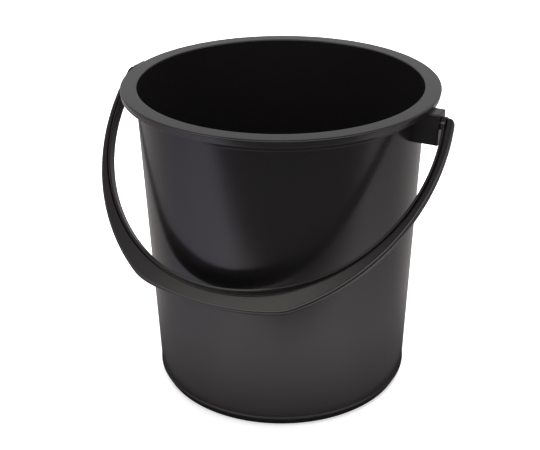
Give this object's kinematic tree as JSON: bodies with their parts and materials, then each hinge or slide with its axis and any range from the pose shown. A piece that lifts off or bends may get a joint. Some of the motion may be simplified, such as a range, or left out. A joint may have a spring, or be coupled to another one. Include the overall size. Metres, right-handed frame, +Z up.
{
  "type": "florist bucket",
  "caption": "Round tapered plastic bucket with a flat rim, two ears, a foot ring and a swinging plastic bail.",
  "frame": {"origin": "on the floor under the middle of the base", "axes": "+Z up, X along the line the bail swings about, the bail at rest leaning towards -Y"},
  "size_m": [0.3244, 0.2825, 0.283],
  "materials": {
    "bucket_plastic": "black polypropylene, satin gloss",
    "bail_plastic": "black polypropylene, fine satin"
  },
  "bodies": {
    "shell": {"bucket_shell": "bucket_plastic"},
    "bail": {"bail_handle": "bail_plastic"}
  },
  "joints": [
    {"name": "bail_swing", "type": "hinge", "parent": "shell", "child": "bail", "pos_m": [0, 0, 0.269], "axis": [-1, 0, 0], "range_deg": [0, 267.4]}
  ]
}
